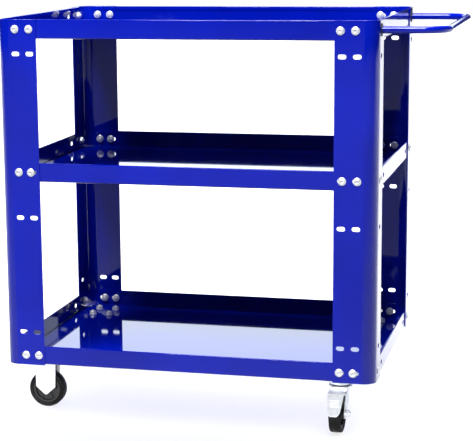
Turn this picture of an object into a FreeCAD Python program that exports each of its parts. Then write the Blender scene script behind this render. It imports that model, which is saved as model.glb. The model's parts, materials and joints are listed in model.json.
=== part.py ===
import FreeCAD, Part
import math
import os

# Three-tray tool cart: folded sheet trays bolted between four angle posts, a tube handle at the +X end,
# two fixed casters at the -X end and two braked swivel casters at the handle end.
# Millimetres, +Z up, ground at z = 0, +X towards the handle, -Y towards the front.
V = FreeCAD.Vector
X, Y, Z = V(1, 0, 0), V(0, 1, 0), V(0, 0, 1)
SAME_POINT = 1e-6

# Overall sizes
CART_LENGTH = 750.0
CART_DEPTH = 530.0
MIDDLE_TRAY_ABOVE_BOTTOM = 372.0
TOP_TRAY_ABOVE_MIDDLE = 281.0

# Trays
TRAY_SHEET = 1.5
TRAY_WALL = 37.5
TRAY_BEND = 3.0
TRAY_HEM = 8.0
TRAY_CORNER_CUT = 28.0
SPARE_TRAY_SLOT_INSET = 98.0

# Posts
POST_SHEET = 2.0
POST_FRONT_FLANGE = 82.5
POST_SIDE_FLANGE = 67.5
POST_CORNER_RADIUS = 26.0
POST_DROP = 1.5
POST_RISE = 0.5
POST_EDGE_ROUND = 0.8

# Slots and frame fasteners
BOLT_D = 8.0
SLOT_LENGTH = 2 * BOLT_D
SLOT_WIDTH = BOLT_D + 0.6
SLOT_INSET = 39.5
SLOT_PITCH = 28.6
SPARE_ROW_FROM_END_TRAY = 48.0
SPARE_ROW_UNDER_MIDDLE = 91.0
# how far each bolt of a corner sits off the middle of its slot, as a share of the play: (outer, inner)
BOLT_OFF_CENTRE = {
    (-1, "top"): (0.0, 0.0),
    (-1, "middle"): (0.0, -0.9),
    (-1, "bottom"): (0.9, 0.5),
    (1, "top"): (-0.9, -0.8),
    (1, "middle"): (0.4, 0.4),
    (1, "bottom"): (-0.9, -0.4),
}
HOLE_GAP = 0.3
THREAD_GAP = 0.05
BUTTON_D = 2 * BOLT_D
BUTTON_H = 4.2
BUTTON_RIM = 1.0
SOCKET_AF = 5.0
SOCKET_DEPTH = 2.4
BOLT_PROUD = 2.5
BOLT_END_CHAMFER = 0.8
HEX_AF = BOLT_D + 5.0
HEX_HEAD_H = 5.3
NUT_H = 7.0
NUT_FLANGE_D = HEX_AF + 3.5
NUT_FLANGE_H = 1.4

# Handle
TUBE_D = 14.0
TUBE_WALL = 1.5
HANDLE_REACH = 128.0
HANDLE_BEND = 48.0
HANDLE_WASHER_D = 24.0
HANDLE_WASHER_T = 1.5
INSERT_LENGTH = 24.0
INSERT_THREAD = 18.0

# Wheels
WHEEL_D = 75.0
TYRE_WIDTH = 24.0
TYRE_SHOULDER = 3.5
TYRE_THICKNESS = 9.0
TYRE_LIP = 1.0
HUB_LENGTH = 27.0
HUB_RIM_WIDTH = 20.0
HUB_RIM_WALL = 4.0
HUB_WEB = 5.0
HUB_BOSS_D = 21.0
HUB_RIBS = 6
HUB_RIB_T = 2.4
HUB_RIB_INSET = 2.5
BUSH_WALL = 2.0
AXLE_D = 8.0
AXLE_HEAD_D = 14.0
AXLE_HEAD_H = 2.6
AXLE_DIMPLE_D = 3.2
AXLE_DIMPLE_DEPTH = 1.0
RUNNING_GAP = 0.05
SIDE_GAP = 0.75

# Caster plates and forks
FORK_SHEET = 2.5
PLATE_X = 58.0
PLATE_CORNER = 7.0
PLATE_BOLTS_X = 38.0
BOLT_FROM_LEG = 8.25
PLATE_EDGE = 11.0
FIXED_INSET = 62.5
FIXED_SIDE_INSET = 71.5
SWIVEL_INSET = 76.0
SWIVEL_SIDE_INSET = 59.0
FIXED_LEG_TOP = 44.0
FIXED_LEG_WAIST = 41.0
FIXED_LEG_SHOULDER = 6.0
FIXED_LEG_TIP_DROP = 10.5
FIXED_LEG_TIP_R = 5.0

# Swivel head
TRAIL = 36.0
TYRE_TO_CROWN = 8.0
CUP_D = 40.0
CUP_DEPTH = 15.0
BALL_D = 5.0
UPPER_BALLS = 14
UPPER_BALL_CIRCLE_R = 13.0
LOWER_BALLS = 10
LOWER_BALL_CIRCLE_R = 10.0
RACE_GAP = 3.0
BALL_GAP = 0.05
LOWER_CUP_D = 26.0
KINGPIN_D = 12.0
KINGPIN_HEAD_D = 18.0
KINGPIN_HEAD_H = 3.0
CROWN_D = 46.0
SEAL_D = 36.0
SEAL_WALL = 2.0
SEAL_AIR = 0.8
SWIVEL_LEG_BACK = 16.0
SWIVEL_LEG_FRONT = 24.0
SWIVEL_LEG_EDGE = 13.0
SWIVEL_LEG_TIP_R = 10.5

# Brake pedal
PEDAL_SHEET = 2.0
PEDAL_UNDER_CROWN = 0.6
PEDAL_WIDTH = 32.0
PEDAL_TIP_WIDTH = 25.0
PEDAL_SLOPE_DEG = 49.3
PEDAL_TONGUE = 47.5
PEDAL_TO_TYRE = 6.8
PEDAL_PIN_D = 5.0
PEDAL_PIN_AHEAD = 20.0
PEDAL_PIN_UNDER = 5.5
PEDAL_PIN_HEAD_D = 8.0
PEDAL_PIN_HEAD_H = 1.6
PEDAL_CHEEK_R = 5.0
PEDAL_CHEEK_T = 1.6
PEDAL_CHEEK_GAP = 0.65
PEDAL_NECK_CLEAR = 3.0

# Heights and places worked out from the sizes above
wheel_r = WHEEL_D / 2
crown_bottom_z = WHEEL_D + TYRE_TO_CROWN
crown_top_z = crown_bottom_z + FORK_SHEET
cup_bottom_z = crown_top_z + RACE_GAP
plate_bottom_z = cup_bottom_z + CUP_DEPTH
bottom_z = plate_bottom_z + FORK_SHEET
middle_z = bottom_z + MIDDLE_TRAY_ABOVE_BOTTOM
top_z = middle_z + TOP_TRAY_ABOVE_MIDDLE
tray_z = {"bottom": bottom_z, "middle": middle_z, "top": top_z}
row_z = {name: z + TRAY_WALL / 2 for name, z in tray_z.items()}
spare_row_z = [
    row_z["bottom"] + SPARE_ROW_FROM_END_TRAY,
    row_z["middle"] - SPARE_ROW_UNDER_MIDDLE,
    row_z["top"] - SPARE_ROW_FROM_END_TRAY,
]
post_bottom_z = bottom_z - POST_DROP
post_top_z = top_z + TRAY_WALL + POST_RISE
half_l, half_d = CART_LENGTH / 2, CART_DEPTH / 2
tray_half_l, tray_half_d = half_l - POST_SHEET, half_d - POST_SHEET
wall_stack = POST_SHEET + TRAY_SHEET
handle_y = half_d - SLOT_INSET
handle_bar_x = half_l + HANDLE_REACH - TUBE_D / 2

tyre_seat_r = wheel_r - TYRE_THICKNESS
leg_inner = HUB_LENGTH / 2 + SIDE_GAP
leg_outer = leg_inner + FORK_SHEET
plate_bolts_y = 2 * (leg_outer + BOLT_FROM_LEG)
plate_y = plate_bolts_y + 2 * PLATE_EDGE
bush_d = AXLE_D + 2 * BUSH_WALL
upper_balls_z = crown_top_z + RACE_GAP / 2
lower_balls_z = crown_bottom_z - RACE_GAP / 2
lower_cup_bottom_z = crown_bottom_z - RACE_GAP - FORK_SHEET

# The pedal's sloping tongue runs square to pedal_normal, at a fixed distance from the tyre.
pedal_slope = math.radians(PEDAL_SLOPE_DEG)
pedal_along = V(math.cos(pedal_slope), 0, -math.sin(pedal_slope))
pedal_normal = V(math.sin(pedal_slope), 0, math.cos(pedal_slope))
pedal_middle_z = crown_bottom_z - PEDAL_UNDER_CROWN - PEDAL_SHEET / 2
pedal_reach = wheel_r + PEDAL_TO_TYRE + PEDAL_SHEET / 2
pedal_crease_x = TRAIL + (pedal_reach - (pedal_middle_z - wheel_r) * pedal_normal.z) / pedal_normal.x
pedal_pin_z = crown_bottom_z - PEDAL_PIN_UNDER
pedal_cheek_outer = leg_inner - PEDAL_CHEEK_GAP

caster_at = {
    "fixed": (-half_l + FIXED_INSET, half_d - FIXED_SIDE_INSET),
    "swivel": (half_l - SWIVEL_INSET, half_d - SWIVEL_SIDE_INSET),
}

parts = {}


def face_of(points):
    """Closed face from points; a tuple (mid, end) adds an arc through mid."""
    edges = []
    last = points[0]
    for item in points[1:] + [points[0]]:
        if isinstance(item, tuple):
            edges.append(Part.Arc(last, item[0], item[1]).toShape())
            last = item[1]
        elif item.distanceToPoint(last) > SAME_POINT:
            edges.append(Part.LineSegment(last, item).toShape())
            last = item
    return Part.Face(Part.Wire(edges))


def cylinder(radius, height, base=V(0, 0, 0), axis=Z):
    return Part.makeCylinder(radius, height, base, axis)


def ring(outer_r, inner_r, height, base=V(0, 0, 0), axis=Z):
    return cylinder(outer_r, height, base, axis).cut(cylinder(inner_r, height, base, axis))


def box(low, high):
    size = high - low
    return Part.makeBox(size.x, size.y, size.z, low)


def placed(shape, at, axis=Z):
    """The shape, built along +Z at zero, turned along axis and moved to a point."""
    copy = shape.copy()
    copy.Placement = FreeCAD.Placement(at, FreeCAD.Rotation(Z, axis))
    return copy


def fused(shapes):
    return shapes[0].multiFuse(shapes[1:]).removeSplitter()


def slot_cutter(at, run, through, depth):
    """A round-ended slot centred on a point, long way along run, cut along through."""
    side = run.cross(through) * (SLOT_WIDTH / 2)
    half = run * ((SLOT_LENGTH - SLOT_WIDTH) / 2)
    tip = run * (SLOT_LENGTH / 2)
    start = at - through * (depth / 2)
    outline = [
        start - half - side,
        start + half - side,
        (start + tip, start + half + side),
        start - half + side,
        (start - tip, start - half - side),
    ]
    return face_of(outline).extrude(through * depth)


# ---------------------------------------------------------------- trays and posts
def corner_slots(sx, sy, z, with_spare):
    """Slot cutters of one corner at one height: two in the front or back face, one or two in the end."""
    cutters = []
    for k in range(2):
        x = sx * (half_l - SLOT_INSET - k * SLOT_PITCH)
        cutters.append(slot_cutter(V(x, sy * half_d, z), X, Y, 4 * wall_stack))
    insets = [SLOT_INSET] + ([SPARE_TRAY_SLOT_INSET] if with_spare else [])
    for inset in insets:
        y = sy * (half_d - inset)
        cutters.append(slot_cutter(V(sx * half_l, y, z), Y, X, 4 * wall_stack))
    return cutters


def post(sx, sy):
    """Angle post with a large rounded corner, at the corner with signs sx, sy."""
    r, t = POST_CORNER_RADIUS, POST_SHEET
    inner = r - t

    def at(px, py):
        return V(sx * (half_l - px), sy * (half_d - py), post_bottom_z)

    def on_arc(radius):
        p = r - radius * math.cos(math.pi / 4)
        return at(p, p)

    outline = [
        at(POST_FRONT_FLANGE, 0),
        at(r, 0),
        (on_arc(r), at(0, r)),
        at(0, POST_SIDE_FLANGE),
        at(t, POST_SIDE_FLANGE),
        at(t, r),
        (on_arc(inner), at(r, t)),
        at(POST_FRONT_FLANGE, t),
    ]
    body = face_of(outline).extrude(Z * (post_top_z - post_bottom_z))
    long_edges = [
        e
        for e in body.Edges
        if e.BoundBox.ZLength < SAME_POINT and e.BoundBox.ZMin > post_top_z - 1 and e.Length > 2 * t
    ]
    body = body.makeFillet(POST_EDGE_ROUND, long_edges)
    for z in list(row_z.values()) + spare_row_z:
        body = body.cut(corner_slots(sx, sy, z, False))
    return body


def tray_wall(out, run, half_width, length, z0):
    """Folded wall: bend radius at the floor, closed hem turned in along the rim."""
    t, r, h = TRAY_SHEET, TRAY_BEND, TRAY_WALL
    inner = r - t
    s = math.sqrt(0.5)

    def at(n, z):
        return out * (half_width + n) + Z * (z0 + z) - run * (length / 2)

    outline = [
        at(-r, 0),
        (at(-r + r * s, r - r * s), at(0, r)),
        at(0, h - t),
        (at(-t, h), at(-2 * t, h - t)),
        at(-2 * t, h - TRAY_HEM),
        at(-t, h - TRAY_HEM),
        at(-t, r),
        (at(-r + inner * s, r - inner * s), at(-r, t)),
    ]
    return face_of(outline).extrude(run * length)


def tray(name):
    """Tray with four hemmed walls and open, cut-back corners that the posts cover."""
    z0 = tray_z[name]
    a, b = tray_half_l - TRAY_BEND, tray_half_d - TRAY_BEND
    ca, cb = tray_half_l - TRAY_CORNER_CUT, tray_half_d - TRAY_CORNER_CUT
    floor_outline = [(a, -cb), (a, cb), (ca, b), (-ca, b), (-a, cb), (-a, -cb), (-ca, -b), (ca, -b)]
    floor = face_of([V(px, py, z0) for px, py in floor_outline]).extrude(Z * TRAY_SHEET)
    walls = [
        tray_wall(out, run, half_width, 2 * length, z0)
        for out, run, half_width, length in (
            (Y, X, tray_half_d, ca),
            (-Y, X, tray_half_d, ca),
            (X, Y, tray_half_l, cb),
            (-X, Y, tray_half_l, cb),
        )
    ]
    body = fused([floor] + walls)
    for sx in (-1, 1):
        for sy in (-1, 1):
            body = body.cut(corner_slots(sx, sy, row_z[name], True))
    return body


# ---------------------------------------------------------------- fasteners
def dome_points(radius, rim, height):
    """Rim, middle and top point of a domed head in the XZ plane."""
    centre = (height**2 - rim**2 - radius**2) / (2 * (height - rim))
    sphere = height - centre
    half_angle = math.atan2(radius, rim - centre) / 2
    middle = V(sphere * math.sin(half_angle), 0, centre + sphere * math.cos(half_angle))
    return V(radius, 0, rim), middle, V(0, 0, height)


def hexagon(across_flats, height, z=0.0):
    corner = across_flats / math.sqrt(3)
    points = [
        V(corner * math.cos(math.radians(60 * k)), corner * math.sin(math.radians(60 * k)), z)
        for k in range(6)
    ]
    return face_of(points).extrude(Z * height)


def shank_points(length, diameter=BOLT_D):
    r, c = diameter / 2, BOLT_END_CHAMFER
    return [V(0, 0, -length), V(r - c, 0, -length), V(r, 0, -length + c), V(r, 0, 0)]


def button_bolt(length):
    """Domed socket screw: head above zero, shank below."""
    rim, middle, top = dome_points(BUTTON_D / 2, BUTTON_RIM, BUTTON_H)
    outline = shank_points(length) + [V(BUTTON_D / 2, 0, 0), rim, (middle, top)]
    solid = face_of(outline).revolve(V(0, 0, 0), Z, 360)
    return solid.cut(hexagon(SOCKET_AF, SOCKET_DEPTH, BUTTON_H - SOCKET_DEPTH))


def chamfered_hexagon(height):
    """Hexagon with its top corners turned off at 30 degrees."""
    top_r = HEX_AF / 2
    limit = Part.makeCone(top_r + height * math.sqrt(3), top_r, height)
    return hexagon(HEX_AF, height).common(limit)


def hex_bolt(length):
    shank = face_of(shank_points(length) + [V(0, 0, 0)]).revolve(V(0, 0, 0), Z, 360)
    return fused([shank, chamfered_hexagon(HEX_HEAD_H)])


def flange_nut(thread_d=BOLT_D):
    """Nut standing on zero, flange down."""
    body = fused([chamfered_hexagon(NUT_H), cylinder(NUT_FLANGE_D / 2, NUT_FLANGE_H)])
    return body.cut(cylinder(thread_d / 2 + THREAD_GAP, NUT_H))


def frame_fasteners():
    """Bolts and nuts that hold each tray to the posts; the handle's screws take two of the top places."""
    bolt = button_bolt(wall_stack + NUT_H + BOLT_PROUD)
    nut = flange_nut()
    play = (SLOT_LENGTH - BOLT_D) / 2
    for name, z in row_z.items():
        bolts, nuts = [], []
        for sx in (-1, 1):
            for sy in (-1, 1):
                places = []
                for k, share in enumerate(BOLT_OFF_CENTRE[sx, name]):
                    x = sx * (half_l - SLOT_INSET - k * SLOT_PITCH) + play * share
                    places.append((V(x, sy * half_d, z), Y * sy))
                if not (name == "top" and sx > 0):
                    places.append((V(sx * half_l, sy * (half_d - SLOT_INSET), z), X * sx))
                for at, out in places:
                    bolts.append(placed(bolt, at, out))
                    nuts.append(placed(nut, at - out * wall_stack, -out))
        parts[name + "_tray_bolts"] = Part.makeCompound(bolts)
        parts[name + "_tray_nuts"] = Part.makeCompound(nuts)


# ---------------------------------------------------------------- handle
def handle():
    """U of round tube, with threaded plugs in its ends, screwed on from inside the top tray."""
    z = row_z["top"]
    start_x = half_l + HANDLE_WASHER_T
    bend_x = handle_bar_x - HANDLE_BEND
    straight_y = handle_y - HANDLE_BEND
    s = HANDLE_BEND * math.sqrt(0.5)

    def bend_middle(sy):
        return V(bend_x + s, sy * (straight_y + s), z)

    path = Part.Wire(
        [
            Part.LineSegment(V(start_x, -handle_y, z), V(bend_x, -handle_y, z)).toShape(),
            Part.Arc(V(bend_x, -handle_y, z), bend_middle(-1), V(handle_bar_x, -straight_y, z)).toShape(),
            Part.LineSegment(V(handle_bar_x, -straight_y, z), V(handle_bar_x, straight_y, z)).toShape(),
            Part.Arc(V(handle_bar_x, straight_y, z), bend_middle(1), V(bend_x, handle_y, z)).toShape(),
            Part.LineSegment(V(bend_x, handle_y, z), V(start_x, handle_y, z)).toShape(),
        ]
    )

    def swept(radius):
        circle = Part.Wire(Part.makeCircle(radius, V(start_x, -handle_y, z), X))
        return path.makePipeShell([circle], True, True)

    inside_r = TUBE_D / 2 - TUBE_WALL
    parts["push_handle"] = swept(TUBE_D / 2).cut(swept(inside_r))

    thread_r = BOLT_D / 2 + THREAD_GAP
    screw_length = wall_stack + HANDLE_WASHER_T + INSERT_THREAD - 2 * BOLT_PROUD
    screw = button_bolt(screw_length)
    inserts, washers, screws = [], [], []
    for sy in (-1, 1):
        end = V(start_x, sy * handle_y, z)
        plug = cylinder(inside_r, INSERT_LENGTH, end, X)
        inserts.append(plug.cut(cylinder(thread_r, INSERT_THREAD, end, X)))
        base = V(half_l, sy * handle_y, z)
        washers.append(ring(HANDLE_WASHER_D / 2, BOLT_D / 2 + HOLE_GAP, HANDLE_WASHER_T, base, X))
        screws.append(placed(screw, base - X * wall_stack, -X))
    parts["handle_inserts"] = Part.makeCompound(inserts)
    parts["handle_washers"] = Part.makeCompound(washers)
    parts["handle_bolts"] = Part.makeCompound(screws)


# ---------------------------------------------------------------- casters
# A caster is built with its travel direction along +X and its plate's middle on the Z axis.
def revolved_about_axle(outline):
    """Face from (radius, y) points and arcs, turned about the Y axis."""

    def at(p):
        return V(p[0], p[1], 0)

    points = [tuple(at(q) for q in p) if isinstance(p[0], tuple) else at(p) for p in outline]
    return face_of(points).revolve(V(0, 0, 0), Y, 360)


def hub():
    """Moulded hub: boss on the bush, web, rim and radial ribs."""
    bore_r = bush_d / 2 + RUNNING_GAP
    boss_r = HUB_BOSS_D / 2
    rim_inner_r = tyre_seat_r - HUB_RIM_WALL
    web, rim, end = HUB_WEB / 2, HUB_RIM_WIDTH / 2, HUB_LENGTH / 2
    one_side = [(boss_r, end), (boss_r, web), (rim_inner_r, web), (rim_inner_r, rim), (tyre_seat_r, rim)]
    outline = [(bore_r, end)] + one_side
    outline += [(r, -y) for r, y in reversed(one_side)] + [(bore_r, -end)]
    body = revolved_about_axle(outline)
    rib_y = rim - HUB_RIB_INSET
    overlap = HUB_RIM_WALL / 4
    for k in range(HUB_RIBS):
        low = V(boss_r - overlap, -rib_y, -HUB_RIB_T / 2)
        rib = box(low, V(rim_inner_r + overlap, rib_y, HUB_RIB_T / 2))
        rib.rotate(V(0, 0, 0), Y, 360 * k / HUB_RIBS)
        body = body.fuse(rib)
    return body.removeSplitter()


def tyre():
    """Solid tyre with round shoulders, its bore seated on the hub's rim."""
    half, c = TYRE_WIDTH / 2, TYRE_SHOULDER
    lip = half - TYRE_LIP
    s = c * math.sqrt(0.5)
    return revolved_about_axle(
        [
            (tyre_seat_r, -lip),
            (wheel_r - c, -half),
            ((wheel_r - c + s, -half + c - s), (wheel_r, -half + c)),
            (wheel_r, half - c),
            ((wheel_r - c + s, half - c + s), (wheel_r - c, half)),
            (tyre_seat_r, lip),
        ]
    )


def axle():
    """Axle along Y with a low domed head at -Y; its far end carries the nut."""
    rim, middle, top = dome_points(AXLE_HEAD_D / 2, BUTTON_RIM, AXLE_HEAD_H)
    length = 2 * leg_outer + NUT_H + BOLT_PROUD
    outline = shank_points(length, AXLE_D) + [V(AXLE_HEAD_D / 2, 0, 0), rim, (middle, top)]
    solid = face_of(outline).revolve(V(0, 0, 0), Z, 360)
    dimple_base = V(0, 0, AXLE_HEAD_H - AXLE_DIMPLE_DEPTH)
    solid = solid.cut(cylinder(AXLE_DIMPLE_D / 2, 2 * AXLE_DIMPLE_DEPTH, dimple_base))
    return placed(solid, V(0, -leg_outer, 0), -Y)


def wheel_set(name, x):
    """Hub, tyre, bush, axle and nut of one caster, with the axle at x."""
    at = V(x, 0, wheel_r)
    pieces = {
        "hub": hub(),
        "tyre": tyre(),
        "bush": ring(bush_d / 2, AXLE_D / 2 + RUNNING_GAP, 2 * leg_inner, V(0, -leg_inner, 0), Y),
        "axle": axle(),
        "axle_nut": placed(flange_nut(AXLE_D), V(0, leg_outer, 0), Y),
    }
    made = {}
    for piece, shape in pieces.items():
        shape.translate(at)
        made[name + "_" + piece] = shape
    return made


def plate_holes(z_low, z_high):
    radius = BOLT_D / 2 + HOLE_GAP
    return [
        cylinder(radius, z_high - z_low, V(sx * PLATE_BOLTS_X / 2, sy * plate_bolts_y / 2, z_low))
        for sx in (-1, 1)
        for sy in (-1, 1)
    ]


def mounting_plate():
    body = box(V(-PLATE_X / 2, -plate_y / 2, plate_bottom_z), V(PLATE_X / 2, plate_y / 2, bottom_z))
    upright = [e for e in body.Edges if e.BoundBox.ZLength > FORK_SHEET / 2]
    body = body.makeFillet(PLATE_CORNER, upright)
    return body.cut(plate_holes(plate_bottom_z, bottom_z))


def axle_holes(x):
    radius = AXLE_D / 2 + THREAD_GAP
    return cylinder(radius, 4 * leg_outer, V(x, -2 * leg_outer, wheel_r), Y)


def fork_leg(points, tip, tip_r, side):
    """Flat leg from (x, z) points plus a round tip, on the side with sign side."""
    low = side * leg_inner if side > 0 else -leg_outer
    sheet = face_of([V(px, low, pz) for px, pz in points]).extrude(Y * FORK_SHEET)
    return sheet.fuse(cylinder(tip_r, FORK_SHEET, V(tip[0], low, tip[1]), Y))


def fixed_fork():
    """Plate with two home-plate shaped legs that come to a rounded point under the axle."""
    half_top, waist, r = FIXED_LEG_TOP / 2, FIXED_LEG_WAIST / 2, FIXED_LEG_TIP_R
    shoulder_z = wheel_r + FIXED_LEG_SHOULDER
    tip_z = wheel_r - FIXED_LEG_TIP_DROP + r
    # the slanted edges leave the tip circle at its tangent points
    reach = math.hypot(waist, shoulder_z - tip_z)
    turn = math.atan2(shoulder_z - tip_z, waist) - math.acos(r / reach)
    tangent = (r * math.cos(turn), tip_z + r * math.sin(turn))
    points = [
        (-half_top, plate_bottom_z),
        (half_top, plate_bottom_z),
        (waist, shoulder_z),
        tangent,
        (-tangent[0], tangent[1]),
        (-waist, shoulder_z),
    ]
    legs = [fork_leg(points, (0, tip_z), r, side) for side in (-1, 1)]
    return fused([mounting_plate()] + legs).cut(axle_holes(0))


def ball_ring(count, circle_r, z):
    balls = []
    for k in range(count):
        a = 2 * math.pi * k / count
        centre = V(circle_r * math.cos(a), circle_r * math.sin(a), z)
        balls.append(Part.makeSphere(BALL_D / 2, centre))
    return Part.makeCompound(balls)


def groove(circle_r, z):
    return Part.makeTorus(circle_r, BALL_D / 2 + BALL_GAP, V(0, 0, z))


def swivel_fork():
    """Crown with ball grooves on both faces and two legs that trail down to the axle."""
    points = [
        (-SWIVEL_LEG_BACK, crown_top_z),
        (SWIVEL_LEG_FRONT, crown_top_z),
        (TRAIL + SWIVEL_LEG_TIP_R, wheel_r),
        (TRAIL - SWIVEL_LEG_TIP_R, wheel_r),
        (-SWIVEL_LEG_BACK, crown_top_z - SWIVEL_LEG_EDGE),
    ]
    legs = [fork_leg(points, (TRAIL, wheel_r), SWIVEL_LEG_TIP_R, side) for side in (-1, 1)]
    disc = cylinder(CROWN_D / 2, FORK_SHEET, V(0, 0, crown_bottom_z))
    bridge = box(
        V(-SWIVEL_LEG_BACK, -leg_outer, crown_bottom_z), V(SWIVEL_LEG_FRONT, leg_outer, crown_top_z)
    )
    body = fused([disc, bridge] + legs)
    pin_hole = cylinder(
        PEDAL_PIN_D / 2 + THREAD_GAP, 4 * leg_outer, V(PEDAL_PIN_AHEAD, -2 * leg_outer, pedal_pin_z), Y
    )
    king_base = V(0, 0, crown_bottom_z - FORK_SHEET / 2)
    king_hole = cylinder(KINGPIN_D / 2 + RUNNING_GAP, 2 * FORK_SHEET, king_base)
    upper = groove(UPPER_BALL_CIRCLE_R, upper_balls_z)
    lower = groove(LOWER_BALL_CIRCLE_R, lower_balls_z)
    return body.cut([pin_hole, king_hole, upper, lower, axle_holes(TRAIL)])


def top_plate():
    """Mounting plate with a deep pressed cup whose underside is the upper ball race."""
    cup = cylinder(CUP_D / 2, CUP_DEPTH + FORK_SHEET, V(0, 0, cup_bottom_z))
    hollow_z = cup_bottom_z + FORK_SHEET
    hollow = cylinder(CUP_D / 2 - FORK_SHEET, bottom_z - hollow_z, V(0, 0, hollow_z))
    king_hole = cylinder(KINGPIN_D / 2, FORK_SHEET, V(0, 0, cup_bottom_z))
    race = groove(UPPER_BALL_CIRCLE_R, upper_balls_z)
    return fused([mounting_plate(), cup]).cut([hollow, king_hole, race])


def kingpin():
    """Rivet that holds plate, crown and lower cup together, one head in each cup."""
    top_head_z = cup_bottom_z + FORK_SHEET
    low_head_z = lower_cup_bottom_z - KINGPIN_HEAD_H
    shank = cylinder(KINGPIN_D / 2, top_head_z - lower_cup_bottom_z, V(0, 0, lower_cup_bottom_z))
    heads = [cylinder(KINGPIN_HEAD_D / 2, KINGPIN_HEAD_H, V(0, 0, z)) for z in (top_head_z, low_head_z)]
    return fused([shank] + heads)


def lower_cup():
    body = ring(LOWER_CUP_D / 2, KINGPIN_D / 2, FORK_SHEET, V(0, 0, lower_cup_bottom_z))
    return body.cut(groove(LOWER_BALL_CIRCLE_R, lower_balls_z))


def brake_pedal():
    """Stamped pedal: neck with cheeks on its pin, flat blade, crease and a sloping round-ended tongue."""
    half_sheet = PEDAL_SHEET / 2
    low_z, high_z = pedal_middle_z - half_sheet, pedal_middle_z + half_sheet
    blade_start = SWIVEL_LEG_FRONT + PEDAL_NECK_CLEAR + FORK_SHEET
    neck_low = V(PEDAL_PIN_AHEAD, -pedal_cheek_outer, low_z)
    neck = box(neck_low, V(blade_start, pedal_cheek_outer, high_z))
    # side section of the sheet, drawn at one edge, then trimmed to the outline seen from above
    half, tip_half = PEDAL_WIDTH / 2, PEDAL_TIP_WIDTH / 2
    mitre = half_sheet * math.tan(pedal_slope / 2)
    crease = V(pedal_crease_x, -half, pedal_middle_z)
    tip = crease + pedal_along * PEDAL_TONGUE
    section = [
        V(blade_start, -half, low_z),
        V(blade_start, -half, high_z),
        crease + V(mitre, 0, half_sheet),
        tip + pedal_normal * half_sheet,
        tip - pedal_normal * half_sheet,
        crease - V(mitre, 0, half_sheet),
    ]
    sheet = face_of(section).extrude(Y * PEDAL_WIDTH)
    front_x = (tip + pedal_normal * half_sheet).x
    round_x = front_x - tip_half * pedal_along.x
    outline = [
        V(blade_start, -half, 0),
        V(pedal_crease_x + mitre, -half, 0),
        V(round_x, -tip_half, 0),
        (V(front_x, 0, 0), V(round_x, tip_half, 0)),
        V(pedal_crease_x + mitre, half, 0),
        V(blade_start, half, 0),
    ]
    blade = sheet.common(face_of(outline).extrude(Z * bottom_z))
    cheeks = []
    for side in (-1, 1):
        y = pedal_cheek_outer - PEDAL_CHEEK_T if side > 0 else -pedal_cheek_outer
        eye = cylinder(PEDAL_CHEEK_R, PEDAL_CHEEK_T, V(PEDAL_PIN_AHEAD, y, pedal_pin_z), Y)
        low = V(PEDAL_PIN_AHEAD, y, pedal_pin_z)
        web = box(low, V(PEDAL_PIN_AHEAD + PEDAL_CHEEK_R, y + PEDAL_CHEEK_T, high_z))
        cheeks += [eye, web]
    body = fused([neck, blade] + cheeks)
    pin = V(PEDAL_PIN_AHEAD, -2 * leg_outer, pedal_pin_z)
    return body.cut(cylinder(PEDAL_PIN_D / 2 + RUNNING_GAP, 4 * leg_outer, pin, Y))


def pedal_pin():
    shank = cylinder(PEDAL_PIN_D / 2, 2 * leg_outer, V(PEDAL_PIN_AHEAD, -leg_outer, pedal_pin_z), Y)
    heads = [
        cylinder(PEDAL_PIN_HEAD_D / 2, PEDAL_PIN_HEAD_H, V(PEDAL_PIN_AHEAD, y, pedal_pin_z), Y)
        for y in (-leg_outer - PEDAL_PIN_HEAD_H, leg_outer)
    ]
    return fused([shank] + heads)


def fixed_caster(name):
    made = wheel_set(name, 0)
    made[name + "_fork"] = fixed_fork()
    return made


def swivel_caster(name):
    made = wheel_set(name, TRAIL)
    made[name + "_top_plate"] = top_plate()
    made[name + "_kingpin"] = kingpin()
    made[name + "_lower_cup"] = lower_cup()
    made[name + "_upper_balls"] = ball_ring(UPPER_BALLS, UPPER_BALL_CIRCLE_R, upper_balls_z)
    made[name + "_lower_balls"] = ball_ring(LOWER_BALLS, LOWER_BALL_CIRCLE_R, lower_balls_z)
    seal_z = V(0, 0, crown_top_z)
    made[name + "_seal"] = ring(SEAL_D / 2, SEAL_D / 2 - SEAL_WALL, RACE_GAP - SEAL_AIR, seal_z)
    made[name + "_fork"] = swivel_fork()
    made[name + "_brake_pedal"] = brake_pedal()
    made[name + "_pedal_pin"] = pedal_pin()
    return made


def casters():
    """Four casters, the holes that they need in the bottom tray, and the bolts and nuts that hold them."""
    bolt = hex_bolt(FORK_SHEET + TRAY_SHEET + NUT_H + BOLT_PROUD)
    nut = flange_nut()
    bolts, nuts, holes = [], [], []
    for row, sy in (("front", -1), ("rear", 1)):
        for kind, (x, y) in caster_at.items():
            at = V(x, sy * y, 0)
            name = row + "_" + kind
            # swivel casters stand with their wheels trailing to the front
            turn = -90 if kind == "swivel" else 0
            made = swivel_caster(name) if kind == "swivel" else fixed_caster(name)
            for node, shape in made.items():
                if not node.endswith("_top_plate"):
                    shape.rotate(V(0, 0, 0), Z, turn)
                shape.translate(at)
                parts[node] = shape
            for hole in plate_holes(bottom_z - TRAY_SHEET, bottom_z + 2 * TRAY_SHEET):
                hole.translate(at)
                holes.append(hole)
            for bx in (-1, 1):
                for by in (-1, 1):
                    place = at + V(bx * PLATE_BOLTS_X / 2, by * plate_bolts_y / 2, 0)
                    bolts.append(placed(bolt, place + Z * plate_bottom_z, -Z))
                    nuts.append(placed(nut, place + Z * (bottom_z + TRAY_SHEET)))
    parts["bottom_tray"] = parts["bottom_tray"].cut(holes)
    parts["caster_bolts"] = Part.makeCompound(bolts)
    parts["caster_nuts"] = Part.makeCompound(nuts)


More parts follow.
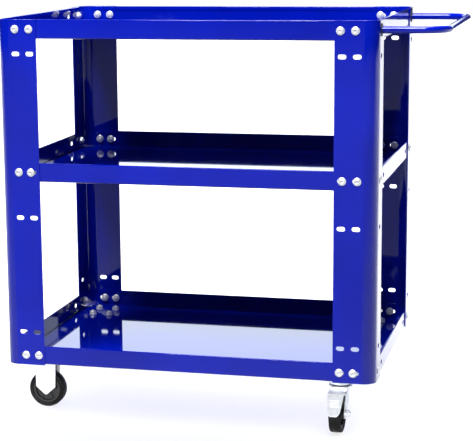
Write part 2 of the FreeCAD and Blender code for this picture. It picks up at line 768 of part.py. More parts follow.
for tray_name in tray_z:
    parts[tray_name + "_tray"] = tray(tray_name)
for row_name, row_sign in (("front", -1), ("rear", 1)):
    for end_name, end_sign in (("left", -1), ("right", 1)):
        parts[row_name + "_" + end_name + "_post"] = post(end_sign, row_sign)
frame_fasteners()
handle()
casters()

# The origin is on the ground under the middle of the whole outline.
outline = FreeCAD.BoundBox()
for shape in parts.values():
    outline.add(shape.optimalBoundingBox(False, False))
origin_shift = V(-outline.Center.x, -outline.Center.y, 0)

os.makedirs("parts", exist_ok=True)
for node_name, node_shape in parts.items():
    moved = node_shape.copy()
    moved.translate(origin_shift)
    if not moved.isValid() or not moved.Solids:
        raise RuntimeError("bad solid in " + node_name)
    moved.exportStep("parts/" + node_name + ".step")
print(len(parts), "nodes, origin shift", origin_shift)
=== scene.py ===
"""Tool cart: finishes, threaded fasteners, bent handle, wheels and studio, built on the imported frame."""
import json
import logging
import math
from dataclasses import dataclass
from enum import Enum
from typing import Any, Iterable, Optional, Sequence

import bmesh
import bpy
from mathutils import Matrix, Vector

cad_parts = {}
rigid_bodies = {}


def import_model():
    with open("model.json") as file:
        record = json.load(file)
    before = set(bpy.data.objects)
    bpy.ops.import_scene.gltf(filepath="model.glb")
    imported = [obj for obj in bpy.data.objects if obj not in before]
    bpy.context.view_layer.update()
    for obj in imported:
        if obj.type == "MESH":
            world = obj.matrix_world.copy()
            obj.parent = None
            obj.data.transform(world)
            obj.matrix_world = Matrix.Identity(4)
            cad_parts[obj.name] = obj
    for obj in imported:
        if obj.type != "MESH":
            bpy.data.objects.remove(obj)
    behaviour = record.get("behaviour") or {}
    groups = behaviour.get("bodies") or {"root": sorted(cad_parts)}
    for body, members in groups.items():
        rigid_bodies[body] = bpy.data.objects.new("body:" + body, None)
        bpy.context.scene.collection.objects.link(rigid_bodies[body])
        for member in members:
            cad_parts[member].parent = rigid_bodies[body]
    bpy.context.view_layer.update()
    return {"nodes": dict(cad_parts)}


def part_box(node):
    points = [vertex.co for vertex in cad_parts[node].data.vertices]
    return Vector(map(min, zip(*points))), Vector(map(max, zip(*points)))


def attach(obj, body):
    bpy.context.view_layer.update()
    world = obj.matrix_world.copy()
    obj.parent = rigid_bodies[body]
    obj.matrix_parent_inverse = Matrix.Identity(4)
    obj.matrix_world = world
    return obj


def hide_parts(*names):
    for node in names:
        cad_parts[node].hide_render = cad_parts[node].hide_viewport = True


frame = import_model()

LOG = logging.getLogger("tool_cart")
MM = 0.001
ROWS = ("front", "rear")
WELD_MM = 0.002
SOFT_EDGE_ANGLE_DEG = 35.0
SOFT_EDGE_STEPS = 2
NOISE_MIDDLE = (0.3, 0.7)
WIDE_SHARE = 0.9
# distance between the diagonal bands of a wave texture at a scale of one
WAVE_BAND = 2 * math.pi / (10 * math.sqrt(3))

Profile = Sequence[tuple[float, float]]
Rings = Sequence[tuple[float, float, float]]


# ------------------------------------------------------------------ small tools
def linear(colour: str) -> tuple[float, float, float, float]:
    """Turns an sRGB hex colour into linear red, green, blue and alpha.

    Args:
        colour: six hex digits after a hash, such as "#1A2B3C".

    Returns:
        The linear colour with an alpha of one.
    """
    channels = [int(colour[k : k + 2], 16) / 255 for k in (1, 3, 5)]
    red, green, blue = (c / 12.92 if c <= 0.04045 else ((c + 0.055) / 1.055) ** 2.4 for c in channels)
    return red, green, blue, 1.0


def add_node(
    tree: bpy.types.NodeTree,
    kind: str,
    settings: Optional[dict[str, Any]] = None,
    inputs: Optional[dict[Any, Any]] = None,
) -> bpy.types.Node:
    """Adds a node with its settings and links.

    Args:
        tree: the node tree that takes the node.
        kind: the node's type name.
        settings: the node's own properties by name.
        inputs: values, or sockets to link from, by input name or index.

    Returns:
        The new node.
    """
    made = tree.nodes.new(kind)
    for name, value in (settings or {}).items():
        setattr(made, name, value)
    for key, value in (inputs or {}).items():
        if isinstance(value, bpy.types.NodeSocket):
            tree.links.new(value, made.inputs[key])
        else:
            made.inputs[key].default_value = value
    return made


def per_metre(size_mm: float) -> float:
    """Scale of a pattern on Object coordinates whose features are size_mm wide."""
    return 1.0 / (size_mm * MM)


def link_object(name: str, mesh: bpy.types.Mesh) -> bpy.types.Object:
    """Puts a mesh into the scene as an object at the origin."""
    made = bpy.data.objects.new(name, mesh)
    bpy.context.scene.collection.objects.link(made)
    return made


def mesh_from(
    name: str,
    points: Sequence[Vector],
    faces: Sequence[Sequence[int]] = (),
    edges: Sequence[Sequence[int]] = (),
) -> bpy.types.Mesh:
    """Makes a mesh from points, faces and loose edges."""
    mesh = bpy.data.meshes.new(name)
    mesh.from_pydata([tuple(p) for p in points], [tuple(e) for e in edges], [tuple(f) for f in faces])
    mesh.update()
    return mesh


def smooth(mesh: bpy.types.Mesh, angle_deg: float = 32.0) -> None:
    """Shades a mesh smooth, apart from edges that turn by more than an angle."""
    mesh.polygons.foreach_set("use_smooth", [True] * len(mesh.polygons))
    mesh.set_sharp_from_angle(angle=math.radians(angle_deg))


def bake(source: bpy.types.Object, name: str) -> bpy.types.Object:
    """Turns an object's evaluated modifiers into one plain mesh object and removes the source.

    Args:
        source: the object with live modifiers.
        name: the new piece's name.

    Returns:
        The new object, at the origin, with no modifier.
    """
    graph = bpy.context.evaluated_depsgraph_get()
    mesh = bpy.data.meshes.new_from_object(source.evaluated_get(graph))
    mesh.name = name
    old = source.data
    bpy.data.objects.remove(source)
    if old.users == 0:
        bpy.data.meshes.remove(old)
    return link_object(name, mesh)


# ------------------------------------------------------------------ finishes
@dataclass(frozen=True)
class Finish:
    """A finish's name, record slot, sRGB colour and uniform surface values."""

    name: str
    slot: str
    colour: str
    roughness: float
    ior: float = 1.5
    metallic: float = 0.0

    def shader(self, tree: bpy.types.NodeTree) -> bpy.types.Node:
        """Adds the surface shader with its uniform values and joins it to the output."""
        inputs = {
            "Base Color": linear(self.colour),
            "Roughness": self.roughness,
            "IOR": self.ior,
            "Metallic": self.metallic,
        }
        surface = add_node(tree, "ShaderNodeBsdfPrincipled", None, inputs)
        add_node(tree, "ShaderNodeOutputMaterial", None, {"Surface": surface.outputs["BSDF"]})
        return surface

    def noise(self, tree: bpy.types.NodeTree, size_mm: float, detail: float = 2.0) -> bpy.types.NodeSocket:
        """Adds noise on Object coordinates with features of a real size and returns its value."""
        place = add_node(tree, "ShaderNodeTexCoord").outputs["Object"]
        inputs = {"Vector": place, "Scale": per_metre(size_mm), "Detail": detail}
        return add_node(tree, "ShaderNodeTexNoise", None, inputs).outputs[0]

    def ramp(
        self, tree: bpy.types.NodeTree, value: bpy.types.NodeSocket, low: float, high: float
    ) -> bpy.types.NodeSocket:
        """Maps the middle of a noise value to a range and returns the result."""
        least, most = NOISE_MIDDLE
        inputs = {"Value": value, "From Min": least, "From Max": most, "To Min": low, "To Max": high}
        return add_node(tree, "ShaderNodeMapRange", None, inputs).outputs["Result"]

    def clouded(
        self, tree: bpy.types.NodeTree, surface: bpy.types.Node, value: bpy.types.NodeSocket, other: str
    ) -> None:
        """Mixes the finish's colour with another by a noise value."""
        inputs = {0: self.ramp(tree, value, 0.0, 1.0), 6: linear(self.colour), 7: linear(other)}
        mix = add_node(tree, "ShaderNodeMix", {"data_type": "RGBA"}, inputs)
        tree.links.new(mix.outputs[2], surface.inputs["Base Color"])

    def uneven(
        self,
        tree: bpy.types.NodeTree,
        surface: bpy.types.Node,
        value: bpy.types.NodeSocket,
        span: tuple[float, float],
    ) -> None:
        """Varies the roughness by a noise value, between two shares of the finish's own."""
        sheen = self.ramp(tree, value, self.roughness * span[0], self.roughness * span[1])
        tree.links.new(sheen, surface.inputs["Roughness"])

    def relief(
        self,
        tree: bpy.types.NodeTree,
        surface: bpy.types.Node,
        height: bpy.types.NodeSocket,
        depth_mm: float,
        strength: float,
    ) -> None:
        """Turns a height into relief of a real depth."""
        inputs = {"Height": height, "Distance": depth_mm * MM, "Strength": strength}
        normal = add_node(tree, "ShaderNodeBump", None, inputs).outputs["Normal"]
        tree.links.new(normal, surface.inputs["Normal"])

    def detail(self, tree: bpy.types.NodeTree, surface: bpy.types.Node) -> None:
        """Adds what makes this finish its own; a subclass gives it."""
        raise NotImplementedError

    def build(self) -> bpy.types.Material:
        """Makes the material.

        Returns:
            The finished procedural material.
        """
        material = bpy.data.materials.new(self.name)
        material.use_nodes = True
        material.node_tree.nodes.clear()
        self.detail(material.node_tree, self.shader(material.node_tree))
        material.diffuse_color = linear(self.colour)
        return material


@dataclass(frozen=True)
class PowderCoat(Finish):
    """Gloss polyester powder coat on steel: wet-looking, with the faint orange peel of melted powder."""

    deep: str = "#010F82"
    cloud_mm: float = 160.0
    gloss_mm: float = 45.0
    gloss_span: tuple[float, float] = (0.85, 1.2)
    peel_mm: float = 2.2
    peel_depth_mm: float = 0.004
    peel_strength: float = 0.2

    def detail(self, tree: bpy.types.NodeTree, surface: bpy.types.Node) -> None:
        """Adds orange peel and a slight change of depth and gloss over each panel."""
        self.clouded(tree, surface, self.noise(tree, self.cloud_mm), self.deep)
        self.uneven(tree, surface, self.noise(tree, self.gloss_mm), self.gloss_span)
        peel = self.noise(tree, self.peel_mm, 1.0)
        self.relief(tree, surface, peel, self.peel_depth_mm, self.peel_strength)


@dataclass(frozen=True)
class ZincPlate(Finish):
    """Electroplated zinc under a clear chromate film, which scatters part of the light: pale cool silver."""

    cloud: str = "#DADEE3"
    cloud_mm: float = 9.0
    gloss_mm: float = 4.0
    gloss_span: tuple[float, float] = (0.75, 1.35)
    mark_mm: float = 0.5
    mark_depth_mm: float = 0.01
    mark_strength: float = 0.2

    def detail(self, tree: bpy.types.NodeTree, surface: bpy.types.Node) -> None:
        """Adds clouding, uneven brightness and fine marks."""
        self.clouded(tree, surface, self.noise(tree, self.cloud_mm, 3.0), self.cloud)
        self.uneven(tree, surface, self.noise(tree, self.gloss_mm, 3.0), self.gloss_span)
        marks = self.noise(tree, self.mark_mm)
        self.relief(tree, surface, marks, self.mark_depth_mm, self.mark_strength)


@dataclass(frozen=True)
class MouldedRubber(Finish):
    """Solid black rubber from a mould: dull, with a fine grain and a trace of grey dust."""

    dust: str = "#0F0E0D"
    dust_mm: float = 14.0
    gloss_mm: float = 6.0
    gloss_span: tuple[float, float] = (0.85, 1.15)
    grain_mm: float = 0.6
    grain_depth_mm: float = 0.04
    grain_strength: float = 0.35

    def detail(self, tree: bpy.types.NodeTree, surface: bpy.types.Node) -> None:
        """Adds grain and dust."""
        self.clouded(tree, surface, self.noise(tree, self.dust_mm, 4.0), self.dust)
        self.uneven(tree, surface, self.noise(tree, self.gloss_mm, 3.0), self.gloss_span)
        grain = self.noise(tree, self.grain_mm)
        self.relief(tree, surface, grain, self.grain_depth_mm, self.grain_strength)


@dataclass(frozen=True)
class MouldedPlastic(Finish):
    """Injection-moulded black plastic: an even half gloss with a shallow spark-eroded grain."""

    gloss_mm: float = 8.0
    gloss_span: tuple[float, float] = (0.85, 1.2)
    grain_mm: float = 0.4
    grain_depth_mm: float = 0.015
    grain_strength: float = 0.25

    def detail(self, tree: bpy.types.NodeTree, surface: bpy.types.Node) -> None:
        """Adds the grain and a little unevenness in the gloss."""
        self.uneven(tree, surface, self.noise(tree, self.gloss_mm), self.gloss_span)
        grain = self.noise(tree, self.grain_mm, 1.0)
        self.relief(tree, surface, grain, self.grain_depth_mm, self.grain_strength)


@dataclass(frozen=True)
class TurnedSteel(Finish):
    """Plain turned or ground steel: close rings from the tool, grey and moderately bright."""

    # real rings are about 0.2 mm apart; these are drawn coarser, so that they show
    ring_mm: float = 2.54
    ring_distortion: float = 0.4
    ring_depth_mm: float = 0.006
    ring_strength: float = 0.2
    gloss_mm: float = 3.0
    gloss_span: tuple[float, float] = (0.8, 1.3)

    def detail(self, tree: bpy.types.NodeTree, surface: bpy.types.Node) -> None:
        """Adds close bands, aslant so that they cross a sleeve along X or Y, and uneven brightness."""
        place = add_node(tree, "ShaderNodeTexCoord").outputs["Object"]
        scale = per_metre(self.ring_mm) * WAVE_BAND
        inputs = {"Vector": place, "Scale": scale, "Distortion": self.ring_distortion}
        rings = add_node(tree, "ShaderNodeTexWave", {"bands_direction": "DIAGONAL"}, inputs).outputs["Fac"]
        self.relief(tree, surface, rings, self.ring_depth_mm, self.ring_strength)
        self.uneven(tree, surface, self.noise(tree, self.gloss_mm), self.gloss_span)


@dataclass(frozen=True)
class StudioPaint(Finish):
    """Matt white studio floor paint."""

    gloss_mm: float = 400.0
    gloss_span: tuple[float, float] = (0.95, 1.0)

    def detail(self, tree: bpy.types.NodeTree, surface: bpy.types.Node) -> None:
        """Adds the faint unevenness of rolled paint."""
        self.uneven(tree, surface, self.noise(tree, self.gloss_mm), self.gloss_span)


class Coat(Enum):
    """The finishes that the cart uses."""

    # polyester powder melted to a deep ultramarine film: sharp reflections of what stands in front
    BLUE = PowderCoat("gloss_blue_powder_coat", "blue_enamel", "#021495", 0.045, 1.42)
    HANDLE = PowderCoat("gloss_blue_powder_coat_on_tube", "handle_tube", "#021495", 0.06, 1.42)
    # zinc on pressed sheet keeps the sheet's fine grain: softer than the zinc on fasteners
    PRESSED_ZINC = ZincPlate("zinc_plated_pressed_steel", "zinc_plate", "#EBEDEF", 0.36, 1.5, 0.5)
    BRIGHT_ZINC = ZincPlate("zinc_plated_fasteners", "zinc_fastener", "#F0F0F1", 0.34, 1.5, 0.6)
    # solid rubber and nylon: near black, the rubber dull and the nylon with an even half gloss
    RUBBER = MouldedRubber("moulded_black_rubber", "tyre", "#070708", 0.55, 1.25)
    NYLON = MouldedPlastic("moulded_black_nylon", "hub_plastic", "#0E0E0F", 0.42, 1.5)
    WASHER = MouldedPlastic("black_polythene_washer", "black_washer", "#18181A", 0.5, 1.51)
    SEAL = MouldedPlastic("black_acetal_dust_ring", "black_seal", "#1A1A1C", 0.45, 1.48)
    # bare steel: the sleeve as turned, the balls polished to a mirror
    SLEEVE = TurnedSteel("turned_steel_sleeve", "bush_steel", "#B7B4AE", 0.34, 1.5, 1.0)
    BALLS = TurnedSteel("polished_ball_steel", "ball_steel", "#CFCFD0", 0.08, 1.5, 1.0)


MATERIALS: dict[Coat, bpy.types.Material] = {}


def finish(coat: Coat) -> bpy.types.Material:
    """Returns a finish's material, made when it is first asked for."""
    if coat not in MATERIALS:
        MATERIALS[coat] = coat.value.build()
    return MATERIALS[coat]


def dress(coat: Coat, nodes: Iterable[str], soft_edge_mm: float = 0.0) -> None:
    """Gives CAD nodes a finish, and rounds their sharp edges for the light where asked.

    Args:
        coat: the finish.
        nodes: names of CAD nodes.
        soft_edge_mm: width of the rounded edge, or zero for none.
    """
    for name in nodes:
        node = frame["nodes"][name]
        for slot in node.material_slots:
            slot.material = finish(coat)
        if soft_edge_mm:
            weld = node.modifiers.new("weld", "WELD")
            weld.merge_threshold = WELD_MM * MM
            soft = node.modifiers.new("soft_edge", "BEVEL")
            soft.width = soft_edge_mm * MM
            soft.segments = SOFT_EDGE_STEPS
            soft.limit_method = "ANGLE"
            soft.angle_limit = math.radians(SOFT_EDGE_ANGLE_DEG)
            soft.harden_normals = True
        LOG.info("dressed %s with %s", name, coat.value.name)


def hand_over(piece: bpy.types.Object, coat: Coat, body: str, *nodes: str) -> bpy.types.Object:
    """Gives a finished piece its body and hides the CAD nodes that it stands for.

    Args:
        piece: the finished mesh object.
        coat: not used.
        body: the body that it rides on.
        nodes: the CAD nodes that it replaces.

    Returns:
        The same piece.
    """
    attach(piece, body)
    if nodes:
        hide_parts(*nodes)
    LOG.info("built %s on %s: %d faces", piece.name, body, len(piece.data.polygons))
    return piece


# ------------------------------------------------------------------ reading the frame
class Form(Enum):
    """Two forms of fastener: a screw is longest along its axis, a nut is shortest along it."""

    SCREW = "screw"
    NUT = "nut"


@dataclass(frozen=True)
class Seat:
    """Where a fastener sits: the point under its head or flange, and the way its head or top points."""

    point: Vector
    out: Vector


def solids_of(node: str) -> list[list[Vector]]:
    """Splits a CAD node's mesh into its separate solids, in the order of their first points.

    Args:
        node: name of the CAD node.

    Returns:
        The points of each solid.
    """
    shape = bmesh.new()
    shape.from_mesh(frame["nodes"][node].data)
    bmesh.ops.remove_doubles(shape, verts=shape.verts, dist=WELD_MM * MM)
    left = set(shape.verts)
    found = []
    for start in shape.verts:
        if start not in left:
            continue
        left.remove(start)
        heap = [start]
        points = []
        while heap:
            vertex = heap.pop()
            points.append(vertex.co.copy())
            near = {edge.other_vert(vertex) for edge in vertex.link_edges} & left
            left -= near
            heap.extend(near)
        found.append(points)
    shape.free()
    return found


def seats(node: str, form: Form) -> list[Seat]:
    """Finds where each fastener of a CAD node sits.

    Args:
        node: name of a CAD node that holds fasteners along X, Y or Z.
        form: whether they are screws or nuts.

    Returns:
        One seat for each fastener.
    """
    found = []
    for points in solids_of(node):
        low = Vector([min(p[k] for p in points) for k in range(3)])
        high = Vector([max(p[k] for p in points) for k in range(3)])
        size = list(high - low)
        along = size.index(max(size) if form is Form.SCREW else min(size))
        axis = Vector([float(k == along) for k in range(3)])
        middle = (low + high) / 2
        radii = [((p - middle) - axis * (p - middle).dot(axis)).length for p in points]
        wide = [p[along] for p, r in zip(points, radii) if r > WIDE_SHARE * max(radii)]
        wide_end = sum(wide) / len(wide) > middle[along]
        towards = 1.0 if wide_end == (form is Form.SCREW) else -1.0
        point = middle.copy()
        point[along] = min(wide) if towards > 0 else max(wide)
        found.append(Seat(point, axis * towards))
    return sorted(found, key=lambda seat: tuple(seat.point))


# ------------------------------------------------------------------ geometry-node trees
def new_tree(name: str, inputs: Sequence[tuple[str, str, Any]]) -> tuple[bpy.types.NodeTree, bpy.types.Node]:
    """Starts a geometry tree with named inputs.

    Args:
        name: the tree's name.
        inputs: name, socket type and default of each input after the geometry.

    Returns:
        The tree and its group input node.
    """
    tree = bpy.data.node_groups.new(name, "GeometryNodeTree")
    tree.interface.new_socket("Geometry", in_out="INPUT", socket_type="NodeSocketGeometry")
    for label, kind, default in inputs:
        socket = tree.interface.new_socket(label, in_out="INPUT", socket_type=kind)
        if default is not None:
            socket.default_value = default
    tree.interface.new_socket("Geometry", in_out="OUTPUT", socket_type="NodeSocketGeometry")
    return tree, add_node(tree, "NodeGroupInput")


def end_tree(tree: bpy.types.NodeTree, given: bpy.types.Node, geometry: bpy.types.NodeSocket) -> None:
    """Ends a geometry tree in Realize Instances and Set Material."""
    real = add_node(tree, "GeometryNodeRealizeInstances", None, {"Geometry": geometry})
    inputs = {"Geometry": real.outputs[0], "Material": given.outputs["Finish"]}
    coated = add_node(tree, "GeometryNodeSetMaterial", None, inputs)
    add_node(tree, "NodeGroupOutput", None, {"Geometry": coated.outputs[0]})


def run_tree(
    source: bpy.types.Object, tree: bpy.types.NodeTree, values: dict[str, Any], name: str
) -> bpy.types.Object:
    """Runs a geometry tree on an object and turns the result into a plain piece.

    Args:
        source: the object that carries the modifier.
        tree: the geometry tree.
        values: input values by name.
        name: the piece's name.

    Returns:
        The finished piece.
    """
    modifier = source.modifiers.new("build", "NODES")
    modifier.node_group = tree
    for item in tree.interface.items_tree:
        if item.item_type == "SOCKET" and item.in_out == "INPUT" and item.name in values:
            modifier[item.identifier] = values[item.name]
    return bake(source, name)


def fastener_tree() -> bpy.types.NodeTree:
    """Tree that sets a threaded fastener on every point, turned by chance about its own axis."""
    tree, given = new_tree(
        "threaded_fasteners",
        [
            ("Head", "NodeSocketObject", None),
            ("Thread Radius", "NodeSocketFloat", 0.004),
            ("Thread Pitch", "NodeSocketFloat", 0.00125),
            ("Thread Turns", "NodeSocketFloat", 3.0),
            ("Thread Start", "NodeSocketFloat", 0.0),
            ("Seed", "NodeSocketInt", 1),
            ("Finish", "NodeSocketMaterial", None),
        ],
    )
    head = add_node(tree, "GeometryNodeObjectInfo", None, {"Object": given.outputs["Head"]})
    height = add_node(
        tree,
        "ShaderNodeMath",
        {"operation": "MULTIPLY"},
        {0: given.outputs["Thread Pitch"], 1: given.outputs["Thread Turns"]},
    )
    coil = add_node(
        tree,
        "GeometryNodeCurveSpiral",
        None,
        {
            "Resolution": 18,
            "Rotations": given.outputs["Thread Turns"],
            "Start Radius": given.outputs["Thread Radius"],
            "End Radius": given.outputs["Thread Radius"],
            "Height": height.outputs[0],
        },
    )
    # the crest is a little over a third of the pitch wide
    crest = add_node(
        tree, "ShaderNodeMath", {"operation": "MULTIPLY"}, {0: given.outputs["Thread Pitch"], 1: 0.36}
    )
    section = add_node(
        tree, "GeometryNodeCurvePrimitiveCircle", None, {"Resolution": 4, "Radius": crest.outputs[0]}
    )
    thread = add_node(
        tree,
        "GeometryNodeCurveToMesh",
        None,
        {"Curve": coil.outputs[0], "Profile Curve": section.outputs[0], "Fill Caps": True},
    )
    lift = add_node(tree, "ShaderNodeCombineXYZ", None, {"Z": given.outputs["Thread Start"]})
    placed = add_node(
        tree, "GeometryNodeTransform", None, {"Geometry": thread.outputs[0], "Translation": lift.outputs[0]}
    )
    whole = add_node(tree, "GeometryNodeJoinGeometry")
    tree.links.new(head.outputs["Geometry"], whole.inputs[0])
    tree.links.new(placed.outputs[0], whole.inputs[0])
    way = add_node(
        tree, "GeometryNodeInputNamedAttribute", {"data_type": "FLOAT_VECTOR"}, {"Name": "out"}
    )
    upright = add_node(
        tree, "FunctionNodeAlignRotationToVector", {"axis": "Z"}, {"Vector": way.outputs["Attribute"]}
    )
    chance = add_node(
        tree,
        "FunctionNodeRandomValue",
        {"data_type": "FLOAT_VECTOR"},
        {0: (0.0, 0.0, 0.0), 1: (0.0, 0.0, 2 * math.pi), "Seed": given.outputs["Seed"]},
    )
    spin = add_node(tree, "FunctionNodeEulerToRotation", None, {"Euler": chance.outputs[0]})
    turned = add_node(
        tree,
        "FunctionNodeRotateRotation",
        {"rotation_space": "LOCAL"},
        {"Rotation": upright.outputs[0], "Rotate By": spin.outputs[0]},
    )
    spread = add_node(
        tree,
        "GeometryNodeInstanceOnPoints",
        None,
        {
            "Points": given.outputs["Geometry"],
            "Instance": whole.outputs[0],
            "Rotation": turned.outputs[0],
        },
    )
    end_tree(tree, given, spread.outputs[0])
    return tree


def bent_tube_tree() -> bpy.types.NodeTree:
    """Tree that bends a polyline with one radius and sweeps a round tube along it."""
    tree, given = new_tree(
        "bent_tube",
        [
            ("Bend Radius", "NodeSocketFloat", 0.048),
            ("Bend Steps", "NodeSocketInt", 20),
            ("Tube Radius", "NodeSocketFloat", 0.007),
            ("Tube Sides", "NodeSocketInt", 40),
            ("Finish", "NodeSocketMaterial", None),
        ],
    )
    line = add_node(tree, "GeometryNodeMeshToCurve", None, {0: given.outputs["Geometry"]})
    bent = add_node(
        tree,
        "GeometryNodeFilletCurve",
        {"mode": "POLY"},
        {
            "Curve": line.outputs[0],
            "Radius": given.outputs["Bend Radius"],
            "Count": given.outputs["Bend Steps"],
        },
    )
    section = add_node(
        tree,
        "GeometryNodeCurvePrimitiveCircle",
        None,
        {"Resolution": given.outputs["Tube Sides"], "Radius": given.outputs["Tube Radius"]},
    )
    swept = add_node(
        tree,
        "GeometryNodeCurveToMesh",
        None,
        {"Curve": bent.outputs[0], "Profile Curve": section.outputs[0], "Fill Caps": True},
    )
    end_tree(tree, given, swept.outputs[0])
    return tree


# ------------------------------------------------------------------ turned shapes
def skin(name: str, rings: Sequence[Sequence[Vector]]) -> bpy.types.Mesh:
    """Joins rings of points into a skin.

    Args:
        name: the mesh's name.
        rings: the points of each ring, the same number in each, or one point for a pole.

    Returns:
        The mesh, with faces that point outwards where the rings run from the bottom outwards and up.
    """
    sides = max(len(ring) for ring in rings)
    points: list[Vector] = []
    rows: list[list[int]] = []
    for ring in rings:
        first = len(points)
        rows.append([first] * sides if len(ring) == 1 else list(range(first, first + sides)))
        points.extend(ring)
    faces = []
    for low, high in zip(rows, rows[1:]):
        for k in range(sides):
            n = (k + 1) % sides
            corners = [low[k], low[n], high[n], high[k]]
            face = [p for i, p in enumerate(corners) if p not in corners[:i]]
            if len(face) > 2:
                faces.append(face)
    return mesh_from(name, points, faces)


def circle(radii: Sequence[float], height: float) -> list[Vector]:
    """Points around the Z axis at one height, each with its own radius."""
    turns = [2 * math.pi * k / len(radii) for k in range(len(radii))]
    return [Vector((r * math.cos(turn), r * math.sin(turn), height)) for r, turn in zip(radii, turns)]


def lathe(profile: Profile, sides: int, name: str) -> bpy.types.Mesh:
    """Turns a profile about the Z axis.

    Args:
        profile: radius and height of each point in metres, from the bottom outwards and up.
        sides: faces around.
        name: the mesh's name.

    Returns:
        The turned mesh.
    """
    return skin(name, [circle([radius] * sides, height) for radius, height in profile])


def arc(
    centre: tuple[float, float], radius: float, start: float, end: float, steps: int
) -> list[tuple[float, float]]:
    """Points along an arc, with angles in degrees from the outward direction, turning towards up."""
    found = []
    for k in range(steps + 1):
        turn = math.radians(start + (end - start) * k / steps)
        found.append((centre[0] + radius * math.cos(turn), centre[1] + radius * math.sin(turn)))
    return found


@dataclass
class FastenerSet:
    """Domed socket screws, hex bolts and flange nuts, all of one thread size. Sizes are in millimetres."""

    thread_d: float = 8.0
    thread_depth: float = 0.45
    thread_lead_in: float = 1.2
    thread_past_nut: float = 4.0
    nut_thread_from: float = 1.0
    nut_turns: float = 3.0
    pitch: float = 1.25
    sides: int = 24
    dome_d: float = 16.0
    dome_h: float = 4.2
    dome_rim: float = 1.0
    dome_steps: int = 7
    rim_edge: float = 0.25
    rim_seam: float = 0.1
    socket_af: float = 5.0
    socket_depth: float = 2.4
    socket_mouth: float = 0.35
    socket_mouth_depth: float = 0.3
    socket_cone: float = 0.6
    socket_edge_rise: float = 0.13
    hex_af: float = 13.0
    hex_head_h: float = 5.3
    hex_washer_face: float = 0.3
    hex_turned_down: float = 0.55
    hex_top_inset: float = 0.15
    hex_flat_inset: float = 0.5
    nut_h: float = 7.0
    nut_turned_down: float = 0.6
    nut_top_inset: float = 0.2
    nut_mouth: float = 0.6
    nut_clearance: float = 0.05
    flange_d: float = 16.5
    flange_h: float = 1.4
    flange_edge: float = 0.2
    flange_fall: float = 0.5
    flange_shoulder: float = 0.15
    flange_step: float = 0.1
    end_chamfer: float = 0.8

    def __post_init__(self) -> None:
        """Makes the tree that every set shares."""
        self.tree = fastener_tree()

    @property
    def root(self) -> float:
        """Radius of the thread's root."""
        return self.thread_d / 2 - self.thread_depth

    @property
    def dome_centre(self) -> float:
        """Height of the centre of the dome's sphere."""
        radius, rim, high = self.dome_d / 2, self.dome_rim, self.dome_h
        return (high**2 - rim**2 - radius**2) / (2 * (high - rim))

    def hex_radius(self, across_flats: float, k: int) -> float:
        """Radius of a hexagon at one of the template's sides."""
        turn = (360.0 * k / self.sides + 30.0) % 60.0 - 30.0
        return across_flats / 2 / math.cos(math.radians(turn))

    def stack(self, name: str, rings: Rings) -> bpy.types.Mesh:
        """Builds a closed shape from rings that are round or six-sided.

        Args:
            name: the mesh's name.
            rings: for each ring its height, its radius or half width across flats, and the radius that its
                corners are turned down to if it is a hexagon, or else zero; a radius of zero makes a pole.

        Returns:
            The mesh, in metres.
        """
        loops = []
        for height, size, corner in rings:
            radii = [size] * self.sides if size > 0 else [0.0]
            if size > 0 and corner:
                radii = [min(self.hex_radius(2 * size, k), corner) for k in range(self.sides)]
            loops.append([point * MM for point in circle(radii, height)])
        mesh = skin(name, loops)
        smooth(mesh)
        return mesh

    def shank(self, length: float) -> list[tuple[float, float, float]]:
        """Rings of the shank, from its end up to the head, turned down to the thread's root."""
        root, chamfer = self.root, self.end_chamfer
        return [(-length, 0, 0), (-length, root - chamfer, 0), (-length + chamfer, root, 0), (0, root, 0)]

    def domed_screw(self, length: float) -> bpy.types.Mesh:
        """A domed screw: shank, flat underside, soft rim, dome and a countersunk six-sided socket."""
        radius, rim, high, centre = self.dome_d / 2, self.dome_rim, self.dome_h, self.dome_centre
        sphere = high - centre
        corner = self.socket_af / math.sqrt(3)
        edge, seam = self.rim_edge, rim - self.rim_seam
        rings = self.shank(length) + [(0, radius - edge, 0), (edge, radius, 0), (seam, radius, 0)]
        start = math.asin(min(1.0, radius / sphere))
        end = math.asin((corner + self.socket_mouth) / sphere)
        for k in range(1, self.dome_steps + 1):
            turn = start + (end - start) * k / self.dome_steps
            rings.append((centre + sphere * math.cos(turn), sphere * math.sin(turn), 0))
        top = rings[-1][0]
        rings += [
            (top - self.socket_mouth_depth, self.socket_af / 2, corner),
            (high - self.socket_depth, self.socket_af / 2, corner),
            (high - self.socket_depth - self.socket_cone, 0, 0),
        ]
        return self.stack("domed_screw", rings)

    def hex_screw(self, length: float) -> bpy.types.Mesh:
        """A hex bolt: shank, head with a washer face below and turned-off corners above."""
        half, corner, high = self.hex_af / 2, self.hex_af / math.sqrt(3), self.hex_head_h
        face = self.hex_washer_face
        rings = self.shank(length) + [
            (0, half - face, 0),
            (face, half - face, 0),
            (face, half, corner),
            (high - self.hex_turned_down, half, corner),
            (high, half, half - self.hex_top_inset),
            (high, half - self.hex_flat_inset, 0),
            (high, 0, 0),
        ]
        return self.stack("hex_screw", rings)

    def flange_nut(self) -> bpy.types.Mesh:
        """A hex nut on a dished flange, open along its thread with a countersunk mouth."""
        half, corner = self.hex_af / 2, self.hex_af / math.sqrt(3)
        bore, flange = self.thread_d / 2 + self.nut_clearance, self.flange_d / 2
        mouth, edge, high = self.nut_mouth, self.flange_edge, self.nut_h
        rings = [
            (mouth, bore, 0),
            (0, bore + mouth, 0),
            (0, flange - edge, 0),
            (edge, flange, 0),
            (self.flange_h - self.flange_fall, flange, 0),
            (self.flange_h, corner + self.flange_shoulder, 0),
            (self.flange_h + self.flange_step, half, corner),
            (high - self.nut_turned_down, half, corner),
            (high, half, half - self.nut_top_inset),
            (high, bore + mouth, 0),
            (high - mouth, bore, 0),
            (mouth, bore, 0),
        ]
        return self.stack("flange_nut", rings)

